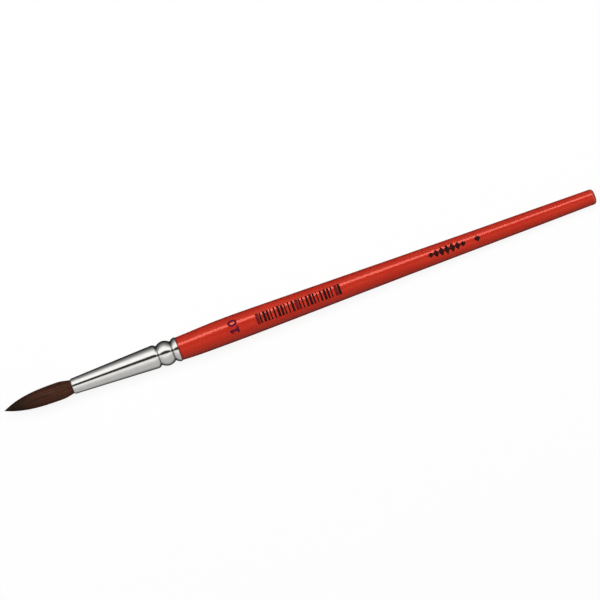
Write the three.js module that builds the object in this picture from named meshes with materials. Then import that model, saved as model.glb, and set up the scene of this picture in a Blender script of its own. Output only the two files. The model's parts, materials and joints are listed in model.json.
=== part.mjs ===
// A round artist's paint brush, lying on a flat surface.
//
// Every piece is turned about the brush's own axis, so each one is a lathe profile.
// In those profiles "along" is the distance from the ferrule's mouth in millimetres:
// negative towards the point of the hair, positive towards the handle's end.

import * as THREE from 'three';
import * as BufferGeometryUtils from 'three/addons/utils/BufferGeometryUtils.js';

// Driving dimensions, in millimetres.
const HAIR_LENGTH = 23.1; // from the ferrule's mouth to the point
const FERRULE_LENGTH = 35.7;
const HANDLE_END = 176.9; // from the ferrule's mouth to the handle's end

const HAIR_RADIUS = 2.92; // at the belly of the hair
const MOUTH_RADIUS = 2.55; // outside of the ferrule at its mouth
const CONE_RADIUS = 3.85; // outside of the ferrule where its cone ends
const GROOVE_RADIUS = 3.18; // outside of the ferrule in both crimp grooves
const BEAD_RADIUS = 4.08;
const COLLAR_RADIUS = 3.99; // flared end of the ferrule
const FERRULE_WALL = 0.25;
const HANDLE_RADIUS = 4.225; // at the belly of the handle
const HANDLE_TAPER = 0.0143; // radius lost per millimetre towards the end

// Where the features lie along the brush.
const HAIR_BELLY = -4.4;
const CONE_END = 27.8;
const FIRST_GROOVE = 29.05;
const SECOND_GROOVE = 33.75;
const BEAD_MIDDLE = (FIRST_GROOVE + SECOND_GROOVE) / 2;
const COLLAR_LIP = 35.4;
const HANDLE_BELLY = 53.5;

// The hair is free to bend at the ferrule's mouth. Its root there is a ball.
const BALL_RADIUS = 2;
const SWING = THREE.MathUtils.degToRad(30); // to each side
const SWING_MARGIN = THREE.MathUtils.degToRad(4); // kept from the rim at full swing
const RIM_REACH = 3.1; // from the pivot to where the hair is wider than the mouth

// Inside the ferrule.
const FIT_GAP = 0.12; // between pieces that are cemented, glued or crimped together
const BUTTS_RADIUS = 2.02;
const BUTTS_START = BALL_RADIUS + 0.4;
const BUTTS_END = 9.4;
const THREAD_DIAMETER = 0.28;
const THREAD_TURNS = 6;
const THREAD_MIDDLE = 7;
const CEMENT_START = 3.4;
const CEMENT_END = 12.2;
const TENON_NOSE = 14.5;
const TENON_NOSE_RADIUS = 2.35;
const TENON_RADIUS = 2.8;

// The visible handle swells in a parabola over its belly and runs into a straight taper.
const HANDLE_START = FERRULE_LENGTH + 0.3;
const BELLY_CURVE = 0.00135; // radius lost per square millimetre from the belly
const TAPER_START = HANDLE_BELLY + HANDLE_TAPER / (2 * BELLY_CURVE);
const END_ROUNDING = 1.1;

// Flat sides round each piece. They touch the true round, and one of them faces down.
const SIDES = 24;
const CORNER_SCALE = 1 / Math.cos(Math.PI / SIDES);

// Count + 1 evenly spaced values from first to last.
function steps(first, last, count) {
  return Array.from({ length: count + 1 }, (_, i) => first + ((last - first) * i) / count);
}

// A closed solid turned from a profile of [along, radius] pairs. A profile runs over the
// outside from the hair's side to the handle's side, and back along the bore if it has one.
function turned(name, profile, { color, roughness, metalness }) {
  const points = profile.map(([along, radius]) => new THREE.Vector2(radius * CORNER_SCALE, along));
  const lathe = new THREE.LatheGeometry(points, SIDES, Math.PI / SIDES);
  lathe.rotateZ(-Math.PI / 2);
  lathe.deleteAttribute('normal');
  lathe.deleteAttribute('uv');
  const geometry = BufferGeometryUtils.mergeVertices(lathe, 1e-5);
  const material = new THREE.MeshStandardMaterial({ color, roughness, metalness });
  const mesh = new THREE.Mesh(geometry, material);
  mesh.name = name;
  return mesh;
}

// A profile with a bore closes on its own first point.
function closed(profile) {
  return [...profile, profile[0]];
}

// The free hair: from the point out to the belly, in past the rim, and round the ball.
function hairTuft() {
  const swell = steps(1, 0, 8).map((toPoint) => [
    HAIR_BELLY - (HAIR_LENGTH + HAIR_BELLY) * toPoint,
    HAIR_RADIUS * (1 - toPoint ** 3),
  ]);
  const lean = Math.PI / 2 - SWING - SWING_MARGIN;
  const shoulder = [-RIM_REACH * Math.cos(lean), RIM_REACH * Math.sin(lean)];
  const ball = steps(Math.PI - lean, 0, 7).map((angle) => [
    BALL_RADIUS * Math.cos(angle),
    BALL_RADIUS * Math.sin(angle),
  ]);
  const finish = { color: 0x41261e, roughness: 0.6, metalness: 0 };
  return turned('hair_tuft', [...swell, shoulder, ...ball], finish);
}

// The set roots of the hair, drawn in to a waist where the thread is tied.
const THREAD_HALF = (THREAD_TURNS * THREAD_DIAMETER) / 2;
const WAIST_RADIUS = BUTTS_RADIUS - THREAD_DIAMETER;

function hairButts() {
  const profile = [
    [BUTTS_START, 0],
    [BUTTS_START, BUTTS_RADIUS],
    [THREAD_MIDDLE - THREAD_HALF - 0.6, BUTTS_RADIUS],
    [THREAD_MIDDLE - THREAD_HALF - 0.1, WAIST_RADIUS],
    [THREAD_MIDDLE + THREAD_HALF + 0.1, WAIST_RADIUS],
    [THREAD_MIDDLE + THREAD_HALF + 0.6, BUTTS_RADIUS],
    [BUTTS_END, BUTTS_RADIUS],
    [BUTTS_END, 0],
  ];
  return turned('hair_butts', profile, { color: 0x3a221b, roughness: 0.7, metalness: 0 });
}

// The thread's turns lie side by side, so together they are one ribbed band.
function bindingThread() {
  const inner = WAIST_RADIUS + FIT_GAP;
  const start = THREAD_MIDDLE - THREAD_HALF;
  const end = THREAD_MIDDLE + THREAD_HALF;
  const ribs = steps(start, end, THREAD_TURNS * 2).map((along, i) => [
    along,
    inner + THREAD_DIAMETER * (i % 2 ? 1 : 0.6),
  ]);
  const profile = closed([[start, inner], ...ribs, [end, inner]]);
  return turned('binding_thread', profile, { color: 0xd8cfb8, roughness: 0.9, metalness: 0 });
}

// Radius of the ferrule's bore at a place along its cone.
function coneBore(along) {
  return MOUTH_RADIUS - FERRULE_WALL + ((CONE_RADIUS - MOUTH_RADIUS) * along) / CONE_END;
}

// A cup of cement that fills the bore round the roots and closes it behind them.
function hairSettingCement() {
  const overButts = BUTTS_RADIUS + FIT_GAP;
  const overThread = WAIST_RADIUS + THREAD_DIAMETER + 2 * FIT_GAP;
  const profile = closed([
    [CEMENT_START, overButts],
    [CEMENT_START, coneBore(CEMENT_START) - FIT_GAP],
    [CEMENT_END, coneBore(CEMENT_END) - FIT_GAP],
    [CEMENT_END, 0],
    [BUTTS_END + FIT_GAP, 0],
    [BUTTS_END + FIT_GAP, overButts],
    [THREAD_MIDDLE + THREAD_HALF + 0.6, overButts],
    [THREAD_MIDDLE + THREAD_HALF + 0.1, overThread],
    [THREAD_MIDDLE - THREAD_HALF - 0.1, overThread],
    [THREAD_MIDDLE - THREAD_HALF - 0.6, overButts],
  ]);
  const finish = { color: 0x8a5a2a, roughness: 0.3, metalness: 0 };
  return turned('hair_setting_cement', profile, finish);
}

// A shallow arch in the ferrule's outside, from a groove over its crest to another place.
function arch(groove, crest, crestRadius, end, count) {
  const height = crestRadius - GROOVE_RADIUS;
  return steps(groove, end, count).map((along) => [
    along,
    crestRadius - height * ((along - crest) / (crest - groove)) ** 2,
  ]);
}

// One drawn tube: a long cone, a crimp groove, a bead, a crimp groove and a flared collar.
function ferrule() {
  const bead = arch(FIRST_GROOVE, BEAD_MIDDLE, BEAD_RADIUS, SECOND_GROOVE, 8);
  const collar = arch(SECOND_GROOVE, COLLAR_LIP, COLLAR_RADIUS, COLLAR_LIP, 4);
  const outside = [
    [0, MOUTH_RADIUS],
    [CONE_END, CONE_RADIUS],
    [CONE_END + 0.7, CONE_RADIUS - 0.17],
    ...bead,
    ...collar.slice(1),
    [FERRULE_LENGTH, COLLAR_RADIUS - 0.04],
  ];
  const bore = outside.map(([along, radius]) => [along, radius - FERRULE_WALL]).reverse();
  const finish = { color: 0xd9d6cf, roughness: 0.22, metalness: 1 };
  return turned('ferrule', closed([...outside, ...bore]), finish);
}

// Radius of the tenon at a place between its nose and the end of the ferrule's cone.
function tenonRadius(along) {
  return THREE.MathUtils.mapLinear(along, TENON_NOSE, CONE_END, TENON_NOSE_RADIUS, TENON_RADIUS);
}

// The glue fills the space between the tenon and the ferrule's cone.
function handleGlue() {
  const start = TENON_NOSE + 1;
  const end = CONE_END - 0.4;
  const profile = closed([
    [start, tenonRadius(start) + FIT_GAP],
    [start, coneBore(start) - FIT_GAP],
    [end, coneBore(end) - FIT_GAP],
    [end, tenonRadius(end) + FIT_GAP],
  ]);
  return turned('handle_glue', profile, { color: 0xc9b37a, roughness: 0.35, metalness: 0 });
}

// Radius of the visible handle at a place along it.
function handleRadius(along) {
  const curved = Math.min(along, TAPER_START) - HANDLE_BELLY;
  const straight = Math.max(along - TAPER_START, 0);
  return HANDLE_RADIUS - BELLY_CURVE * curved ** 2 - HANDLE_TAPER * straight;
}

// The tenon swells into the bead between the two crimp grooves, which lock it in.
function handle() {
  const corner = HANDLE_END - END_ROUNDING;
  const cornerRadius = handleRadius(corner);
  const visible = steps(HANDLE_START, TAPER_START, 6).map((along) => [along, handleRadius(along)]);
  const rounding = steps(0, Math.PI / 2, 4).map((angle) => [
    corner + END_ROUNDING * Math.sin(angle),
    cornerRadius - END_ROUNDING * (1 - Math.cos(angle)),
  ]);
  const profile = [
    [TENON_NOSE, 0],
    [TENON_NOSE, TENON_NOSE_RADIUS - 0.3],
    [TENON_NOSE + 0.3, tenonRadius(TENON_NOSE + 0.3)],
    [CONE_END, TENON_RADIUS],
    [FIRST_GROOVE, TENON_RADIUS],
    [BEAD_MIDDLE, TENON_RADIUS + 0.45],
    [SECOND_GROOVE, TENON_RADIUS],
    [COLLAR_LIP - 0.2, COLLAR_RADIUS - 0.5],
    [HANDLE_START, COLLAR_RADIUS - 0.5],
    ...visible,
    ...rounding,
    [HANDLE_END, 0],
  ];
  return turned('handle', profile, { color: 0xc82c22, roughness: 0.12, metalness: 0 });
}

// The brush rests on the straight taper of its handle, so its axis falls by that taper
// towards the end, and the ferrule and the hair are clear of the surface.
const brush = new THREE.Group();
brush.rotation.y = Math.atan(HANDLE_TAPER);
brush.add(
  hairTuft(),
  hairButts(),
  bindingThread(),
  hairSettingCement(),
  ferrule(),
  handleGlue(),
  handle(),
);

// The origin is on the surface, under the middle of the brush's box.
const box = new THREE.Box3().setFromObject(brush, true);
const middle = box.getCenter(new THREE.Vector3());
brush.position.set(-middle.x, -middle.y, -box.min.z);

const part = new THREE.Group();
part.add(brush);

export default part;
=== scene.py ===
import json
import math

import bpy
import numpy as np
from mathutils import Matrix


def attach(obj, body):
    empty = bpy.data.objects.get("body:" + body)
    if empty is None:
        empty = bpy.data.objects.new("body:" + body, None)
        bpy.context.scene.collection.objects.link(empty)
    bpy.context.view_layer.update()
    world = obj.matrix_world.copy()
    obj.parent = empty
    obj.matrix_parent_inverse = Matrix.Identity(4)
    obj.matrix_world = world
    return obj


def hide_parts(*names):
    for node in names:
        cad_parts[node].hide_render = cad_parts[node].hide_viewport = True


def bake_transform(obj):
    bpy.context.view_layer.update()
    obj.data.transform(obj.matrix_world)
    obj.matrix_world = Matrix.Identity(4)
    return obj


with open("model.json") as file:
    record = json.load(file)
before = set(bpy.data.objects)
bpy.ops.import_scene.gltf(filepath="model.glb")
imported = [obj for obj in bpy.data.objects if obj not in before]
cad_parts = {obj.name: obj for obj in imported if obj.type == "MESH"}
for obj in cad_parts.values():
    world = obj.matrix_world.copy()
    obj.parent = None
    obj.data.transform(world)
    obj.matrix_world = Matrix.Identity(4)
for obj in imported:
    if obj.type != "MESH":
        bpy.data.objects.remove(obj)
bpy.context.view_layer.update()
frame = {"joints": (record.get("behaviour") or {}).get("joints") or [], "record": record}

# The looks of a round artist's paint brush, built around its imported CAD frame.
#
# Shapes are made in the brush's own frame, in millimetres: "along" its axis from the ferrule's
# mouth (negative towards the hair's point, positive towards the handle's end), to its "side",
# which is +Y, and to its "top". An angle round the axis runs from the top towards the side.

RANDOM = np.random.default_rng(10)

MM = 0.001
FULL_TURN = 2 * math.pi

# The brush's frame, from the record: the hair's hinge is at the ferrule's mouth, and the handle's
# end face looks along the axis.
HINGE = frame["joints"][0]
END_FACE = next(m for m in frame["record"]["mounts"] if m["name"] == "handle_end")
MOUTH = np.array(HINGE["pos_m"])
AXIS = np.array(END_FACE["axis"]) / np.linalg.norm(END_FACE["axis"])
SIDE = np.array([0.0, 1.0, 0.0])
TOP = np.cross(AXIS, SIDE)

# Driving dimensions, in millimetres, as in the CAD.
HAIR_LENGTH = 23.1
FERRULE_LENGTH = 35.7
HANDLE_END = (np.array(END_FACE["pos_m"]) - MOUTH) @ AXIS / MM
HAIR_RADIUS = 2.92
HAIR_BELLY = -4.4
MOUTH_RADIUS = 2.55
CONE_RADIUS = 3.85
CONE_END = 27.8
GROOVE_RADIUS = 3.18
FIRST_GROOVE = 29.05
SECOND_GROOVE = 33.75
BEAD_MIDDLE = (FIRST_GROOVE + SECOND_GROOVE) / 2
BEAD_RADIUS = 4.08
COLLAR_RADIUS = 3.99
COLLAR_LIP = 35.4
FERRULE_WALL = 0.25
HANDLE_RADIUS = 4.225
HANDLE_BELLY = 53.5
HANDLE_TAPER = 0.0143
BELLY_CURVE = 0.00135
TAPER_START = HANDLE_BELLY + HANDLE_TAPER / (2 * BELLY_CURVE)
END_ROUNDING = 1.1

# Inside the ferrule.
FIT_GAP = 0.12
BUTTS_RADIUS = 2.02
BUTTS_START = 2.4
BUTTS_END = 9.4
THREAD_DIAMETER = 0.28
THREAD_TURNS = 6
THREAD_MIDDLE = 7
THREAD_HALF = THREAD_TURNS * THREAD_DIAMETER / 2
WAIST_RADIUS = BUTTS_RADIUS - THREAD_DIAMETER
CEMENT_START = 3.4
CEMENT_END = 12.2
TENON_NOSE = 14.5
TENON_NOSE_RADIUS = 2.35
TENON_RADIUS = 2.8


# ---------------------------------------------------------------------------- camera and light

# Lengths are in metres here, and the lights' and the room's angles in degrees.
PICTURE_TILT = math.radians(20.12)  # the brush rises to the right by this in the picture
PICTURE_WIDTH = 0.19098  # seen at the brush
CAMERA_DISTANCE = 1.0
SENSOR = 36  # the camera's, in millimetres
AIM = np.array([0.0004, 0.00115, 0.0039])
LIGHT_DISTANCE = 0.6
LIGHT_LENGTH = 1.3
OVERHEAD_ANGLES = (-7, 33)  # from straight up towards +Y
OVERHEAD_RADIANCE = 3.35
HIGHLIGHT_ANGLES = (30, 51)
HIGHLIGHT_RADIANCE = 8
FLOOR_SIZE = 6
TABLE_GREY = 0.12
TABLE_GLOW = 0.865  # most of the table's brightness is its own, so that shadows stay very faint
BOUNCE_SIZE = 0.6
BOUNCE_HEIGHT = 0.0001
BOUNCE_RADIANCE = 0.3

# How bright a room the pieces mirror, by angle from straight up towards +Y: a bright wide window
# on that side, a dim one on the other that reaches below the horizon, and a dark gap between them.
ROOM = {
    -180: 0.01,
    -135: 0.05,
    -117: 0.28,
    -98: 0.46,
    -56: 0.49,
    -45: 0.57,
    -32: 0.68,
    -20: 0.88,
    -5: 0.70,
    -3: 0.02,
    21: 0.02,
    24: 1.00,
    45: 1.05,
    58: 0.95,
    86: 0.32,
    103: 0.17,
    125: 0.04,
    150: 0.01,
}
ROOM_END = 0.95  # the windows end where a direction has this share along the brush
ROOM_END_BLUR = 0.03
ROOM_BEYOND_END = 0.15  # how bright the room still is past their ends


def make_camera():
    """Straight down on the brush, turned so that it lies as in the picture."""
    camera = bpy.data.cameras.new("camera")
    camera.sensor_width = SENSOR
    camera.lens = SENSOR * CAMERA_DISTANCE / PICTURE_WIDTH
    holder = bpy.data.objects.new("camera", camera)
    holder.location = AIM + [0, 0, CAMERA_DISTANCE]
    holder.rotation_euler = (0, 0, -PICTURE_TILT)
    bpy.context.scene.collection.objects.link(holder)
    bpy.context.scene.camera = holder


def softbox(name, angles, radiance, mirrored_in=None):
    """A long light above the brush, seen from it between two angles from straight up towards +Y.

    It lights everything without being mirrored. With mirrored_in it only shows as a reflection,
    on the pieces in that collection.
    """
    low, high = angles
    middle = math.radians(low + high) / 2
    half = math.radians(high - low) / 2
    light = bpy.data.lights.new(name, "AREA")
    light.shape = "RECTANGLE"
    light.size = LIGHT_LENGTH
    light.size_y = 2 * LIGHT_DISTANCE * math.tan(half)
    light.energy = radiance * math.pi * light.size * light.size_y
    holder = bpy.data.objects.new(name, light)
    holder.location = LIGHT_DISTANCE * np.array([0, math.sin(middle), math.cos(middle)])
    holder.rotation_euler = (-middle, 0, 0)
    holder.visible_camera = False
    holder.visible_glossy = mirrored_in is not None
    holder.visible_diffuse = mirrored_in is None
    if mirrored_in:
        holder.light_linking.receiver_collection = mirrored_in
    bpy.context.scene.collection.objects.link(holder)


def table_bounce():
    """The soft light that comes back up from the table onto the undersides."""
    light = bpy.data.lights.new("table_bounce", "AREA")
    light.size = BOUNCE_SIZE
    light.energy = BOUNCE_RADIANCE * math.pi * BOUNCE_SIZE**2
    holder = bpy.data.objects.new("table_bounce", light)
    holder.location = (0, 0, BOUNCE_HEIGHT)
    holder.rotation_euler = (math.pi, 0, 0)
    holder.visible_camera = False
    holder.visible_glossy = False
    bpy.context.scene.collection.objects.link(holder)


def lit_table():
    """The pale material of the floor and the backdrop."""
    material = bpy.data.materials.new("lit_table")
    material.use_nodes = True
    shader = material.node_tree.nodes["Principled BSDF"]
    shader.inputs["Base Color"].default_value = (TABLE_GREY, TABLE_GREY, TABLE_GREY, 1)
    shader.inputs["Roughness"].default_value = 0.9
    shader.inputs["Emission Strength"].default_value = TABLE_GLOW
    return material


def make_stage():
    """A plain pale floor and a round backdrop, which the pieces neither mirror nor take light from."""
    white = lit_table()
    bpy.ops.mesh.primitive_plane_add(size=FLOOR_SIZE)
    floor = bpy.context.object
    floor.name = "floor"
    bpy.ops.mesh.primitive_uv_sphere_add(radius=FLOOR_SIZE / 2, segments=48, ring_count=24)
    backdrop = bpy.context.object
    backdrop.name = "backdrop"
    backdrop.visible_shadow = False
    for staged in (floor, backdrop):
        staged.data.materials.append(white)
        staged.visible_glossy = False
        staged.visible_diffuse = False


def make_room():
    """What the pieces mirror: windows along both sides of the brush. It doesn't light them."""
    world = bpy.data.worlds.new("room")
    world.use_nodes = True
    bpy.context.scene.world = world
    world.cycles_visibility.diffuse = False
    tree = world.node_tree
    direction = tree.nodes.new("ShaderNodeTexCoord")
    parts = tree.nodes.new("ShaderNodeSeparateXYZ")
    angle = tree.nodes.new("ShaderNodeMath")
    angle.operation = "ARCTAN2"
    share = tree.nodes.new("ShaderNodeMapRange")
    share.inputs["From Min"].default_value = -math.pi
    share.inputs["From Max"].default_value = math.pi
    ramp = tree.nodes.new("ShaderNodeValToRGB")
    fill_ramp(ramp.color_ramp, [((at + 180) / 360, (grey,) * 3) for at, grey in ROOM.items()])
    end = tree.nodes.new("ShaderNodeMath")
    end.operation = "ABSOLUTE"
    brightness = tree.nodes.new("ShaderNodeMapRange")
    brightness.inputs["From Min"].default_value = ROOM_END + ROOM_END_BLUR
    brightness.inputs["From Max"].default_value = ROOM_END - ROOM_END_BLUR
    brightness.inputs["To Min"].default_value = ROOM_BEYOND_END
    tree.links.new(direction.outputs["Generated"], parts.inputs[0])
    tree.links.new(parts.outputs["Y"], angle.inputs[0])
    tree.links.new(parts.outputs["Z"], angle.inputs[1])
    tree.links.new(angle.outputs[0], share.inputs["Value"])
    tree.links.new(share.outputs["Result"], ramp.inputs["Fac"])
    tree.links.new(ramp.outputs["Color"], tree.nodes["Background"].inputs["Color"])
    tree.links.new(parts.outputs["X"], end.inputs[0])
    tree.links.new(end.outputs[0], brightness.inputs["Value"])
    tree.links.new(brightness.outputs["Result"], tree.nodes["Background"].inputs["Strength"])


def fill_ramp(ramp, stops):
    """Give a colour ramp these (place, colour) stops."""
    for at, _ in stops[1:-1]:
        ramp.elements.new(at)
    for element, (at, colour) in zip(ramp.elements, stops):
        element.position = at
        element.color = (*colour, 1)


make_camera()
make_stage()
make_room()
GLOSSY = bpy.data.collections.new("glossy_lacquer")
softbox("overhead", OVERHEAD_ANGLES, OVERHEAD_RADIANCE)
table_bounce()
softbox("highlight", HIGHLIGHT_ANGLES, HIGHLIGHT_RADIANCE, mirrored_in=GLOSSY)
bpy.context.scene.view_settings.view_transform = "Standard"


# ---------------------------------------------------------------------------- materials

BLACK = (0, 0, 0)
WHITE = (1, 1, 1)


class Look:
    """A material with one Principled shader and textures laid out in the brush's millimetres."""

    def __init__(self, name, **settings):
        self.material = bpy.data.materials.new(name)
        self.material.use_nodes = True
        self.tree = self.material.node_tree
        self.shader = self.tree.nodes["Principled BSDF"]
        for socket, value in settings.items():
            self.shader.inputs[socket.replace("_", " ")].default_value = value
        self.place = self.attribute("brush_mm").outputs["Vector"]

    def attribute(self, name):
        node = self.tree.nodes.new("ShaderNodeAttribute")
        node.attribute_name = name
        return node

    def link(self, value, socket):
        self.tree.links.new(value, self.shader.inputs[socket])

    def noise(self, scale, detail=3):
        """Noise with this many cycles per millimetre along, to the side and to the top."""
        mapping = self.tree.nodes.new("ShaderNodeMapping")
        mapping.inputs["Scale"].default_value = scale
        texture = self.tree.nodes.new("ShaderNodeTexNoise")
        texture.inputs["Scale"].default_value = 1
        texture.inputs["Detail"].default_value = detail
        self.tree.links.new(self.place, mapping.inputs["Vector"])
        self.tree.links.new(mapping.outputs["Vector"], texture.inputs["Vector"])
        return texture.outputs["Fac"]

    def along(self, start, end):
        """0 before start and 1 after end, in millimetres along the brush."""
        parts = self.tree.nodes.new("ShaderNodeSeparateXYZ")
        self.tree.links.new(self.place, parts.inputs[0])
        return self.scaled(parts.outputs["X"], start, end, 0, 1)

    def band(self, start, middle, end):
        """0 at start and end and 1 in the middle, in millimetres along the brush."""
        peak = (middle - start) / (end - start)
        return self.ramp(self.along(start, end), (0, BLACK), (peak, WHITE), (1, BLACK))

    def scaled(self, value, from_low, from_high, low, high):
        """A value moved from one range to another, and held within it."""
        node = self.tree.nodes.new("ShaderNodeMapRange")
        limits = {"From Min": from_low, "From Max": from_high, "To Min": low, "To Max": high}
        for socket, limit in limits.items():
            node.inputs[socket].default_value = limit
        self.tree.links.new(value, node.inputs["Value"])
        return node.outputs["Result"]

    def ramp(self, value, *stops):
        """A colour for each value, between (value, colour) stops."""
        node = self.tree.nodes.new("ShaderNodeValToRGB")
        fill_ramp(node.color_ramp, stops)
        self.tree.links.new(value, node.inputs["Fac"])
        return node.outputs["Color"]

    def mix(self, share, first, second):
        """The first colour where share is 0, and the second where it is 1."""
        node = self.tree.nodes.new("ShaderNodeMix")
        node.data_type = "RGBA"
        for value, socket in ((share, 0), (first, 6), (second, 7)):
            self.tree.links.new(value, node.inputs[socket])
        return node.outputs[2]

    def bump(self, height, depth, under=None):
        """A relief of this depth in millimetres, laid over another one."""
        node = self.tree.nodes.new("ShaderNodeBump")
        node.inputs["Distance"].default_value = depth * MM
        self.tree.links.new(height, node.inputs["Height"])
        if under is not None:
            self.tree.links.new(under, node.inputs["Normal"])
        return node.outputs["Normal"]


def in_grooves(look):
    """1 at the bottom of both of the ferrule's grooves, where shade is painted, and 0 beside them."""
    stops = []
    for groove, reach in ((FIRST_GROOVE, 0.3), (SECOND_GROOVE, 0.4)):
        for along, colour in ((groove - reach, BLACK), (groove, WHITE), (groove + reach, BLACK)):
            stops.append(((along - CONE_END) / (COLLAR_LIP - CONE_END), colour))
    return look.ramp(look.along(CONE_END, COLLAR_LIP), *stops)


def nickel_look():
    """Nickel plate with fine drawing lines, rubbed patches and painted shade in the grooves."""
    look = Look("nickel_plate", Metallic=1)
    clouds = look.noise((0.5, 0.8, 0.8))
    rubbed = look.noise((9, 0.5, 0.5), detail=4)
    drawn = look.noise((0.12, 7, 7), detail=4)
    tone = look.ramp(clouds, (0.3, (0.88, 0.87, 0.84)), (0.7, (0.96, 0.95, 0.93)))
    # painted shade: near-black nickel laid into the grooves, for their shadowed walls
    groove_shade = look.ramp(clouds, (0.3, (0.05, 0.048, 0.045)), (0.7, (0.14, 0.135, 0.125)))
    look.link(look.mix(in_grooves(look), tone, groove_shade), "Base Color")
    look.link(look.scaled(rubbed, 0.3, 0.7, 0.09, 0.17), "Roughness")
    relief = look.bump(rubbed, 0.0012)
    relief = look.bump(drawn, 0.0012, relief)
    look.link(look.bump(clouds, 0.004, relief), "Normal")
    return look.material


def handle_look():
    """Red lacquer on the handle, and bare pale wood on the tenon inside the ferrule.

    Shade is painted into the lacquer as darker red at the ferrule and round the end face, and just
    before the end a painted highlight runs along a pale line.
    """
    look = Look("lacquered_wood", Specular_Tint=(1, 0.33, 0.27, 1))
    lacquered = look.along(FERRULE_LENGTH - 0.5, FERRULE_LENGTH - 0.2)
    clouds = look.noise((0.05, 0.3, 0.3), detail=4)
    red = look.ramp(clouds, (0.3, (0.535, 0.0245, 0.011)), (0.7, (0.60, 0.0345, 0.0145)))
    # painted shade: a dark red for the shadow in the gap at the ferrule and round the rounded end
    painted_shade = look.ramp(clouds, (0.3, (0.10, 0.010, 0.006)), (0.7, (0.16, 0.014, 0.008)))
    # painted highlight: a pale pink line just before the end face, in place of a reflection
    wear_and_painted_highlight = look.ramp(clouds, (0.3, (0.60, 0.10, 0.07)), (0.7, (0.68, 0.14, 0.10)))
    # where the painted highlight and the two bands of painted shade lie along the handle
    painted_highlight_line = look.band(HANDLE_END - 1.0, HANDLE_END - 0.65, HANDLE_END - 0.4)
    shade_at_end = look.band(HANDLE_END - 0.5, HANDLE_END, HANDLE_END + 1)
    shade_at_ferrule = look.band(FERRULE_LENGTH - 1, FERRULE_LENGTH, FERRULE_LENGTH + 0.8)
    for share, colour in ((painted_highlight_line, wear_and_painted_highlight), (shade_at_end, painted_shade), (shade_at_ferrule, painted_shade)):
        red = look.mix(share, red, colour)
    grain = look.noise((0.12, 2.5, 2.5), detail=5)
    wood = look.ramp(grain, (0.35, (0.42, 0.27, 0.14)), (0.65, (0.62, 0.45, 0.27)))
    look.link(look.mix(lacquered, wood, red), "Base Color")
    look.link(look.scaled(lacquered, 0, 1, 0.6, 0.1), "Roughness")
    peel = look.noise((0.9, 1.6, 1.6), detail=2)
    look.link(look.bump(peel, 0.002, look.bump(grain, 0.0015)), "Normal")
    return look.material


def hair_look(name):
    """Hairs of slightly different browns, darker at the point."""
    look = Look(name, Specular_IOR_Level=0.06)
    # The shade attribute carries each hair's brown, and also painted light on the -Y side of the hairs
    # and painted shade on the core.
    shade = look.attribute("shade").outputs["Fac"]
    brown = look.ramp(shade, (0, (0.026, 0.0095, 0.0055)), (1, (0.118, 0.045, 0.026)))
    dark = look.ramp(shade, (0, (0.012, 0.0068, 0.0045)), (1, (0.050, 0.029, 0.016)))
    from_point = look.along(-HAIR_LENGTH * 0.85, -HAIR_LENGTH * 0.5)
    look.link(look.mix(from_point, dark, brown), "Base Color")
    look.link(look.scaled(shade, 0, 1, 0.5, 0.38), "Roughness")
    return look.material


def thread_look():
    """Pale twisted cotton."""
    look = Look("binding_thread", Sheen_Weight=0.3)
    plies = look.noise((5, 5, 5))
    tone = look.ramp(plies, (0.3, (0.50, 0.44, 0.33)), (0.7, (0.72, 0.66, 0.54)))
    look.link(tone, "Base Color")
    look.link(look.scaled(plies, 0, 1, 0.75, 0.95), "Roughness")
    look.link(look.bump(plies, 0.03), "Normal")
    return look.material


def resin_look(name, dark, light):
    """Cured cement or glue: cloudy, glossy and a little uneven."""
    look = Look(name)
    clouds = look.noise((0.7, 0.7, 0.7), detail=4)
    look.link(look.ramp(clouds, (0.3, dark), (0.7, light)), "Base Color")
    look.link(look.scaled(clouds, 0.3, 0.7, 0.2, 0.4), "Roughness")
    look.link(look.bump(look.noise((1.5, 1.5, 1.5)), 0.03), "Normal")
    return look.material


def ink_look(name, wear_and_painted_highlight, full):
    """Printing ink, thinner in specks where it is rubbed."""
    look = Look(name, Specular_IOR_Level=0.08)
    wear = look.noise((3, 3, 3), detail=5)
    look.link(look.ramp(wear, (0.3, wear_and_painted_highlight), (0.45, full)), "Base Color")
    look.link(look.scaled(wear, 0.3, 0.7, 0.45, 0.3), "Roughness")
    look.link(look.bump(wear, 0.004), "Normal")
    return look.material


# ---------------------------------------------------------------------------- shape helpers

FERRULE_LEAN = 0.0055  # millimetres to the side for each one from the handle towards the point
HAIR_BOW = 0.09  # how far the middle of the hair bows to the side
SAG = 0.19  # how far the brush dips to the other side where the handle meets the ferrule
SAG_MIDDLE = 39
SAG_REACH = 8
CREASE = math.radians(50)  # corners sharper than this aren't smoothed over


def round_place(along, radius, angle):
    """Points in the brush's frame, from their places along and round its axis."""
    along, radius, angle = np.broadcast_arrays(along, radius, angle)
    return np.stack([along, radius * np.sin(angle), radius * np.cos(angle)], axis=-1)


def off_axis(along):
    """How far the brush strays to the side of its straight axis, as turned and crimped by hand."""
    lean = FERRULE_LEAN * np.maximum(FERRULE_LENGTH - along, 0)
    bow = HAIR_BOW * np.sin(np.clip(-along / HAIR_LENGTH, 0, 1) * math.pi)
    sag = SAG * np.exp(-(((along - SAG_MIDDLE) / SAG_REACH) ** 2))
    return lean + bow - sag


def to_world(points):
    """Where points in the brush's frame are, in metres."""
    across = points[..., 1] + off_axis(points[..., 0])
    points = np.stack([points[..., 0], across, points[..., 2]], axis=-1)
    return MOUTH + MM * (points @ np.array([AXIS, SIDE, TOP]))


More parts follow.
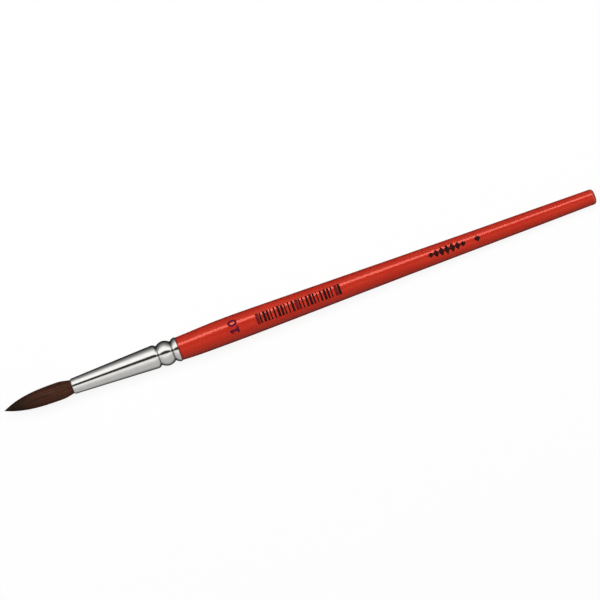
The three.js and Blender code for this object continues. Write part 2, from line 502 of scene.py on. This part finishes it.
def piece(name, points, faces, material, node=None, shade=None):
    """A mesh object from points in the brush's frame. It remembers them, for its textures."""
    points = points.reshape(-1, 3)
    mesh = bpy.data.meshes.new(name)
    mesh.from_pydata(to_world(points).tolist(), [], faces)
    mesh.shade_smooth()
    mesh.set_sharp_from_angle(angle=CREASE)
    mesh.materials.append(material)
    places = mesh.attributes.new("brush_mm", "FLOAT_VECTOR", "POINT")
    places.data.foreach_set("vector", points.astype(np.float32).ravel())
    if shade is not None:
        shades = mesh.attributes.new("shade", "FLOAT", "POINT")
        shades.data.foreach_set("value", shade.astype(np.float32).ravel())
    made = bpy.data.objects.new(name, mesh)
    bpy.context.scene.collection.objects.link(made)
    if node:
        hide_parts(node)
    return made


def eased(corners, steps=6):
    """An outline through [along, radius, reach] corners, each rounded over its reach."""
    outline = []
    spots = [np.array(corner[:2], float) for corner in corners]
    for i, (_, _, reach) in enumerate(corners):
        if reach == 0:
            outline.append(spots[i])
            continue
        legs = [spots[j] - spots[i] for j in (i - 1, (i + 1) % len(spots))]
        start, end = (spots[i] + leg * min(reach / np.linalg.norm(leg), 0.5) for leg in legs)
        for t in np.linspace(0, 1, steps):
            outline.append((1 - t) ** 2 * start + 2 * t * (1 - t) * spots[i] + t**2 * end)
    return outline


def turned(profile, segments=128, bored=False, ripple=None):
    """Points and faces of a solid turned from [along, radius] pairs.

    The profile runs over the outside from the hair's side to the handle's side. A bored one goes
    on back along the bore and closes on itself. Any other one is closed by a flat disc at each end.
    """
    along, radius = np.array(profile, float).T[:, :, None]
    around = np.arange(segments) * FULL_TURN / segments
    if ripple:
        radius = radius + ripple(along, around)
    points = round_place(along, radius, around)
    index = np.arange(len(profile) * segments).reshape(-1, segments)
    if bored:
        index = np.vstack([index, index[:1]])
    beside = np.roll(index, -1, axis=1)
    walls = np.stack([index[:-1], index[1:], beside[1:], beside[:-1]], axis=-1)
    faces = walls.reshape(-1, 4).tolist()
    points = points.reshape(-1, 3)
    if not bored:
        first = len(points)
        hubs = [[along[0, 0], 0, 0], [along[-1, 0], 0, 0]]
        points = np.vstack([points, hubs])
        for i in range(segments):
            faces.append([first, index[0, i], beside[0, i]])
            faces.append([first + 1, beside[-1, i], index[-1, i]])
    return points, faces


def tubes(centres, radii, outward, sides):
    """Points and faces of closed tubes with a flat side outward, from their centres and radii.

    Centres are an array of (tube, point, 3) and radii one of (tube, point).
    """
    tangent = np.gradient(centres, axis=1)
    tangent /= np.linalg.norm(tangent, axis=-1, keepdims=True)
    across = np.cross(tangent, outward)
    across /= np.linalg.norm(across, axis=-1, keepdims=True)
    up = np.cross(across, tangent)
    turn = (np.arange(sides)[:, None] + 0.5) * FULL_TURN / sides
    spokes = up[:, :, None] * np.cos(turn) + across[:, :, None] * np.sin(turn)
    points = centres[:, :, None] + radii[:, :, None, None] * spokes
    index = np.arange(points[..., 0].size).reshape(points.shape[:3])
    beside = np.roll(index, -1, axis=2)
    walls = np.stack([index[:, :-1], beside[:, :-1], beside[:, 1:], index[:, 1:]], axis=-1)
    faces = walls.reshape(-1, 4).tolist()
    faces += index[:, 0, ::-1].tolist() + index[:, -1].tolist()
    return points, faces


def slab(top, bottom, closes=False):
    """Points and faces of a thin film between two grids of points, open or closed to a ring."""
    rows, columns = top.shape[:2]
    points = np.concatenate([top.reshape(-1, 3), bottom.reshape(-1, 3)])
    index = np.arange(rows * columns).reshape(rows, columns)
    if closes:
        index = np.vstack([index, index[:1]])
    under = index + rows * columns
    faces = np.stack([index[:-1, :-1], index[1:, :-1], index[1:, 1:], index[:-1, 1:]], axis=-1)
    backs = np.stack([under[:-1, :-1], under[:-1, 1:], under[1:, 1:], under[1:, :-1]], axis=-1)
    rims = [index[:, 0][::-1], index[:, -1]]
    rims += [] if closes else [index[0], index[-1][::-1]]
    faces = faces.reshape(-1, 4).tolist() + backs.reshape(-1, 4).tolist()
    for rim in rims:
        for a, b in zip(rim[:-1], rim[1:]):
            faces.append([b, a, a + rows * columns, b + rows * columns])
    return points, faces


# ---------------------------------------------------------------------------- the ferrule


def cone_bore(along):
    """Radius of the ferrule's bore at a place along its cone."""
    return MOUTH_RADIUS - FERRULE_WALL + (CONE_RADIUS - MOUTH_RADIUS) * along / CONE_END


def arch(groove, crest, crest_radius, end, count):
    """A shallow arch in the ferrule's outside, from a groove over its crest to another place."""
    along = np.linspace(groove, end, count)[1:-1]
    from_crest = (along - crest) / (crest - groove)
    radius = crest_radius - (crest_radius - GROOVE_RADIUS) * from_crest**2
    return [[a, r, 0] for a, r in zip(along, radius)]


def make_ferrule():
    """One drawn tube with an even wall: cone, groove, bead, groove and flared collar."""
    cone_steps = np.linspace(1, CONE_END - 1, 20)
    outside = [
        [0, MOUTH_RADIUS, 0.12],
        *[[along, cone_bore(along) + FERRULE_WALL, 0] for along in cone_steps],
        [CONE_END, CONE_RADIUS, 0.3],
        [CONE_END + 0.7, CONE_RADIUS - 0.17, 0.3],
        [FIRST_GROOVE, GROOVE_RADIUS, 0.1],
        *arch(FIRST_GROOVE, BEAD_MIDDLE, BEAD_RADIUS, SECOND_GROOVE, 22),
        [SECOND_GROOVE, GROOVE_RADIUS, 0.1],
        *arch(SECOND_GROOVE, COLLAR_LIP, COLLAR_RADIUS, COLLAR_LIP, 12),
        [COLLAR_LIP, COLLAR_RADIUS, 0.1],
        [FERRULE_LENGTH, COLLAR_RADIUS - 0.03, 0.08],
    ]
    bore = [[along, radius - FERRULE_WALL, reach] for along, radius, reach in reversed(outside)]
    points, faces = turned(eased(outside + bore), segments=144, bored=True)
    made = piece("ferrule_nickel", points, faces, nickel_look(), "ferrule")
    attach(made, "brush_body")


# ---------------------------------------------------------------------------- the handle

WAIST_DEPTH = 0.1  # how much slimmer than the straight taper the handle is half way along it
SLOW_WAVE = 0.006  # the heights of the waves in the dipped lacquer
QUICK_WAVE = 0.003


def handle_radius(along):
    """The CAD's radius: a parabola over the belly, and a straight taper behind it."""
    curved = np.minimum(along, TAPER_START) - HANDLE_BELLY
    straight = np.maximum(along - TAPER_START, 0)
    return HANDLE_RADIUS - BELLY_CURVE * curved**2 - HANDLE_TAPER * straight


def hand_turned(along, angle):
    """What is added to the CAD's radius: turned, dipped wood is slimmer half way, and wavy."""
    taper_share = np.clip((along - TAPER_START) / (HANDLE_END - TAPER_START), 0, 1)
    waist = np.sin(taper_share * math.pi) ** 2
    slow = np.sin(along / 7.3 + 0.4) * np.cos(angle - along / 41)
    quick = np.sin(along / 3.1 + 2 * np.cos(angle))
    waves = (SLOW_WAVE * slow + QUICK_WAVE * quick) * (along > FERRULE_LENGTH)
    return waves - WAIST_DEPTH * waist


def make_handle():
    """The turned handle, from its tenon's nose in the ferrule to its rounded end."""
    shoulder = FERRULE_LENGTH + 0.04
    corner = HANDLE_END - END_ROUNDING
    corner_radius = handle_radius(corner)
    tenon = [
        [TENON_NOSE, TENON_NOSE_RADIUS - 0.05, 0.3],
        [CONE_END, TENON_RADIUS, 0.3],
        [FIRST_GROOVE, TENON_RADIUS, 0.3],
        [BEAD_MIDDLE, TENON_RADIUS + 0.45, 1],
        [SECOND_GROOVE, TENON_RADIUS, 0.3],
        [COLLAR_LIP - 0.2, COLLAR_RADIUS - 0.5, 0.1],
        [shoulder, COLLAR_RADIUS - 0.5, 0.03],
        [shoulder, handle_radius(shoulder), 0.12],
    ]
    body = [[along, handle_radius(along), 0] for along in np.linspace(shoulder + 1, corner, 180)]
    rounding = [
        [
            corner + END_ROUNDING * math.sin(angle),
            corner_radius - END_ROUNDING * (1 - math.cos(angle)),
            0,
        ]
        for angle in np.linspace(0, math.pi / 2, 12)[1:]
    ]
    nose = [[TENON_NOSE, 0.1, 0]]
    profile = eased(nose + tenon + body + rounding)
    points, faces = turned(profile, ripple=hand_turned)
    made = piece("handle_lacquered", points, faces, handle_look(), "handle")
    GLOSSY.objects.link(made)
    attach(made, "brush_body")


# ---------------------------------------------------------------------------- the hair

ROOT_CURVE = 0.05  # radius lost per square millimetre from the belly towards the mouth
ROOT_RADIUS = 2.2  # where the hair goes into the ferrule
ROOT_INSIDE = 1.8  # how far the free hair is modelled inside the ferrule
HAIR_COUNT = 1700
HAIR_POINTS = 15
HAIR_SIDES = 3
HAIR_THICKNESS = 0.085
TUFTS = 110  # streaks of darker and lighter hairs round the bundle
PAINTED_SIDE_LIGHT = 0.6  # painted light: how much lighter the hairs on the -Y side are made at their roots
CORE_SHARE = 0.93  # the core's radius, as a share of the bundle's
LIFT = 0.012  # how far single hairs rise and sink along their way
WAVER = 0.01  # how far they swing to both sides, in radians


def hair_outline(along):
    """Radius of the bundle of hair at a place along it."""
    to_point = np.clip((HAIR_BELLY - along) / (HAIR_LENGTH + HAIR_BELLY), 0, 1)
    to_root = np.maximum(along - HAIR_BELLY, 0)
    belly = HAIR_RADIUS * (1 - to_point**3) - ROOT_CURVE * to_root**2
    return np.where(along > HAIR_BELLY, np.maximum(belly, ROOT_RADIUS), belly)


def bend_at_mouth(made):
    """Bake a piece of the hair's placement into its mesh."""
    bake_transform(made)


def make_hair_core(look):
    """The inside of the bundle, seen only between the outer hairs, in the darkest hair brown as
    painted shade.
    """
    places = np.linspace(-HAIR_LENGTH + 0.1, ROOT_INSIDE, 40)
    profile = [[along, hair_outline(along) * CORE_SHARE] for along in places]
    points, faces = turned(profile, segments=96)
    # painted shade: the core takes the darkest hair brown
    shade = np.zeros(len(points))
    made = piece("hair_core", points, faces, look, "hair_tuft", shade)
    bend_at_mouth(made)


def per_hair(draw, *limits):
    """A random number for each hair, as a column."""
    return draw(*limits, (HAIR_COUNT, 1))


def make_hairs(look):
    """Single hairs that lie along the bundle's outline and end one by one towards the point."""
    root = ROOT_INSIDE - per_hair(RANDOM.uniform, 0, 0.5)
    ends_at = per_hair(RANDOM.uniform, 0, 1) ** 1.1
    end = HAIR_BELLY - (HAIR_LENGTH + HAIR_BELLY) * (1 - ends_at) ** (1 / 3)
    step = np.linspace(0, 1, HAIR_POINTS)
    along = root + (end - root) * step
    depth = per_hair(RANDOM.uniform, 0, 0.07)
    thickness = HAIR_THICKNESS * per_hair(RANDOM.uniform, 0.75, 1.1)
    radii = thickness / 2 * np.clip((1 - step) / 0.4, 0.08, 1) ** 0.8
    lift = LIFT * np.sin(per_hair(RANDOM.uniform, 0, FULL_TURN) + along / 2.3)
    distance = (hair_outline(along) - radii) * (1 - depth) + lift
    drift = per_hair(RANDOM.normal, 0, 0.03) * step**2
    waver = WAVER * np.sin(per_hair(RANDOM.uniform, 0, FULL_TURN) + along / 1.9)
    angle = per_hair(RANDOM.uniform, 0, FULL_TURN) + drift + waver
    centres = round_place(along, np.maximum(distance, 0), angle)
    outward = round_place(0, 1, angle)
    points, faces = tubes(centres, radii, outward, HAIR_SIDES)
    places = np.linspace(0, FULL_TURN, TUFTS)
    tones = RANDOM.normal(0, 0.10, TUFTS)
    tufts = np.interp(angle + 0.02 * along, places, tones, period=FULL_TURN)
    # painted light: hairs on the -Y side are made lighter, most towards their roots
    pale = PAINTED_SIDE_LIGHT * np.maximum(-np.sin(angle), 0) * (1 + along / HAIR_LENGTH)
    shade = np.clip(per_hair(RANDOM.beta, 2, 2.5) + tufts + pale, 0, 1)
    shade = np.repeat(shade[:, :, None], HAIR_SIDES, axis=2)
    made = piece("hairs", points, faces, look, "hair_tuft", shade)
    bend_at_mouth(made)


# ---------------------------------------------------------------------------- inside the ferrule


def make_hair_roots(look):
    """The root ends of the hair, ridged like hairs side by side and tied in at a waist."""
    profile = eased([
        [BUTTS_START, BUTTS_RADIUS, 0.1],
        [THREAD_MIDDLE - THREAD_HALF - 0.6, BUTTS_RADIUS, 0.2],
        [THREAD_MIDDLE - THREAD_HALF - 0.1, WAIST_RADIUS, 0.2],
        [THREAD_MIDDLE + THREAD_HALF + 0.1, WAIST_RADIUS, 0.2],
        [THREAD_MIDDLE + THREAD_HALF + 0.6, BUTTS_RADIUS, 0.2],
        [BUTTS_END, BUTTS_RADIUS, 0.1],
    ])
    ridges = 72
    height = 0.02

    def ridged(along, angle):
        return height * np.sin(ridges * angle + 0.3 * along) - height

    points, faces = turned(profile, segments=ridges * 4, ripple=ridged)
    shade = RANDOM.uniform(0.2, 0.6, len(points))
    made = piece("hair_roots", points, faces, look, "hair_butts", shade)
    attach(made, "brush_body")


def make_thread():
    """A thread wound round the roots' waist, with its turns side by side."""
    turns = np.linspace(0, THREAD_TURNS - 1, THREAD_TURNS * 40)[None]
    along = THREAD_MIDDLE - THREAD_HALF + THREAD_DIAMETER * (turns + 0.5)
    angle = turns * FULL_TURN
    radius = WAIST_RADIUS + FIT_GAP + THREAD_DIAMETER / 2
    centres = round_place(along, radius, angle)
    radii = np.full(turns.shape, THREAD_DIAMETER / 2)
    points, faces = tubes(centres, radii, round_place(0, 1, angle), sides=10)
    made = piece("thread_turns", points, faces, thread_look(), "binding_thread")
    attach(made, "brush_body")


def make_cement():
    """A cup of cement that fills the ferrule round and behind the bound roots."""
    over_butts = BUTTS_RADIUS + FIT_GAP
    over_thread = WAIST_RADIUS + THREAD_DIAMETER + 2 * FIT_GAP
    back = BUTTS_END + FIT_GAP
    outside = [
        [CEMENT_START, cone_bore(CEMENT_START) - FIT_GAP, 0.03],
        [CEMENT_END, cone_bore(CEMENT_END) - FIT_GAP, 0.2],
        [CEMENT_END - 0.3, 0.9, 0.3],
        [CEMENT_END - 0.3, 0.02, 0],
    ]
    pocket = [
        [back, 0.02, 0],
        [back, over_butts, 0.1],
        [THREAD_MIDDLE + THREAD_HALF + 0.6, over_butts, 0.2],
        [THREAD_MIDDLE + THREAD_HALF + 0.1, over_thread, 0.2],
        [THREAD_MIDDLE - THREAD_HALF - 0.1, over_thread, 0.2],
        [THREAD_MIDDLE - THREAD_HALF - 0.6, over_butts, 0.2],
        [CEMENT_START, over_butts, 0.03],
    ]
    points, faces = turned(eased(outside + pocket), segments=64, bored=True)
    look = resin_look("hair_cement", (0.15, 0.06, 0.015), (0.26, 0.12, 0.03))
    made = piece("cement_cup", points, faces, look, "hair_setting_cement")
    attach(made, "brush_body")


def make_glue():
    """A sleeve of glue between the tenon and the ferrule's cone."""

    def tenon_radius(along):
        share = (along - TENON_NOSE) / (CONE_END - TENON_NOSE)
        return TENON_NOSE_RADIUS + (TENON_RADIUS - TENON_NOSE_RADIUS) * share

    start = TENON_NOSE + 1
    end = CONE_END - 0.4
    profile = eased([
        [start, cone_bore(start) - FIT_GAP, 0.1],
        [end, cone_bore(end) - FIT_GAP, 0.1],
        [end, tenon_radius(end) + FIT_GAP, 0.1],
        [start, tenon_radius(start) + FIT_GAP, 0.1],
    ])
    points, faces = turned(profile, segments=64, bored=True)
    look = resin_look("handle_glue", (0.50, 0.38, 0.17), (0.68, 0.55, 0.30))
    made = piece("glue_sleeve", points, faces, look, "handle_glue")
    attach(made, "brush_body")


# ---------------------------------------------------------------------------- printed marks

INK_PROUD = 0.012
INK_SUNK = 0.03
MARKS_TURN = math.radians(3.5)  # the marks are centred a little to the side of the top
DIGIT_TOP = 52.9
DIGIT_HEIGHT = 3.1
BARS_START = 62.1
BAR_PITCH = 1.2
BAR_COUNT = 24
BARS_LEFT = -1.9
BARS_RIGHT = 1.65
BAR_WIDTH = 0.42  # the thinnest
BAR_EXTRA = 0.46  # how much wider the thickest is
FAINT_EVERY = 11
FAINT_WIDTH = 1.05
ORNAMENT_MIDDLE = 126.6
LOZENGE_PITCH = 1.8
LONE_LOZENGE = 136.9


def printed(name, grids, look):
    """Ink films on the handle, from grids of [along, across] points and whether each one closes."""
    all_points = []
    all_faces = []
    count = 0
    for grid, closes in grids:
        along, across = np.moveaxis(grid, -1, 0)
        angle = MARKS_TURN + across / handle_radius(along)
        surface = handle_radius(along) + hand_turned(along, angle)
        top = round_place(along, surface + INK_PROUD, angle)
        bottom = round_place(along, surface - INK_SUNK, angle)
        points, faces = slab(top, bottom, closes)
        all_points.append(points)
        all_faces += [[i + count for i in face] for face in faces]
        count += len(points)
    made = piece(name, np.concatenate(all_points), all_faces, look)
    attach(made, "brush_body")


def block(start, end, left, right, lean=0):
    """A printed rectangle, or one that leans along the brush towards its right side."""
    along, across = np.meshgrid([start, end], np.linspace(left, right, 9), indexing="ij")
    return np.stack([along + lean * (across - left), across], axis=-1), False


def ring(along, across, half_length, half_width, stroke):
    """A printed oval line."""
    steps = 48
    turn = np.arange(steps)[:, None] * FULL_TURN / steps
    inset = np.array([0, 1]) * stroke
    oval_along = along + (half_length - inset) * np.cos(turn)
    oval_across = across + (half_width - inset) * np.sin(turn)
    return np.stack([oval_along, oval_across], axis=-1), True


def lozenge(along, half_length, half_width):
    """A printed rhombus."""
    share = np.linspace(-1, 1, 17)[:, None]
    width = half_width * (1 - np.abs(share)) + 0.02
    across = width * np.linspace(-1, 1, 9)
    return np.stack([along + half_length * share + 0 * across, across], axis=-1), False


def make_size_number():
    """The size number 10, with the tops of its digits towards the hair."""
    bottom = DIGIT_TOP + DIGIT_HEIGHT
    stem = block(DIGIT_TOP + 0.05, bottom - 0.55, -1.45, -0.6)
    foot = block(bottom - 0.65, bottom, -2.1, 0.05)
    flag = block(DIGIT_TOP + 0.75, DIGIT_TOP + 1.3, -2.0, -1.3, lean=-0.8)
    nought = ring(DIGIT_TOP + DIGIT_HEIGHT / 2, 1.47, DIGIT_HEIGHT / 2, 1.14, 0.64)
    look = ink_look("ink_violet", (0.18, 0.010, 0.025), (0.080, 0.004, 0.022))
    printed("print_size_number", [stem, foot, flag, nought], look)


def make_bars():
    """A band of plain bars at an even pitch. Their widths come from a formula and hold no code."""
    full = []
    faint = []
    for i in range(BAR_COUNT):
        start = BARS_START + BAR_PITCH * i
        if i % FAINT_EVERY == 0:
            faint.append(block(start, start + FAINT_WIDTH, BARS_LEFT, BARS_RIGHT))
        else:
            width = BAR_WIDTH + BAR_EXTRA * math.sin(2.4 * i) ** 2
            full.append(block(start, start + width, BARS_LEFT, BARS_RIGHT))
    printed("print_bars", full, BLACK_INK)
    thin_ink = ink_look("ink_black_thin", (0.30, 0.014, 0.012), (0.15, 0.008, 0.010))
    printed("print_bars_faint", faint, thin_ink)


def make_ornament():
    """A row of plain lozenges, large in the middle, and a small one on its own."""
    row = [
        lozenge(ORNAMENT_MIDDLE + LOZENGE_PITCH * i, 1.0, 1.7 - 0.09 * i * i)
        for i in range(-3, 4)
    ]
    alone = lozenge(LONE_LOZENGE, 1.1, 1.0)
    printed("print_ornament", [*row, alone], BLACK_INK)


BLACK_INK = ink_look("ink_black", (0.12, 0.010, 0.008), (0.022, 0.004, 0.004))

make_ferrule()
make_handle()
HAIR_LOOK = hair_look("brush_hair")
make_hair_core(HAIR_LOOK)
make_hairs(HAIR_LOOK)
make_hair_roots(HAIR_LOOK)
make_thread()
make_cement()
make_glue()
make_size_number()
make_bars()
make_ornament()
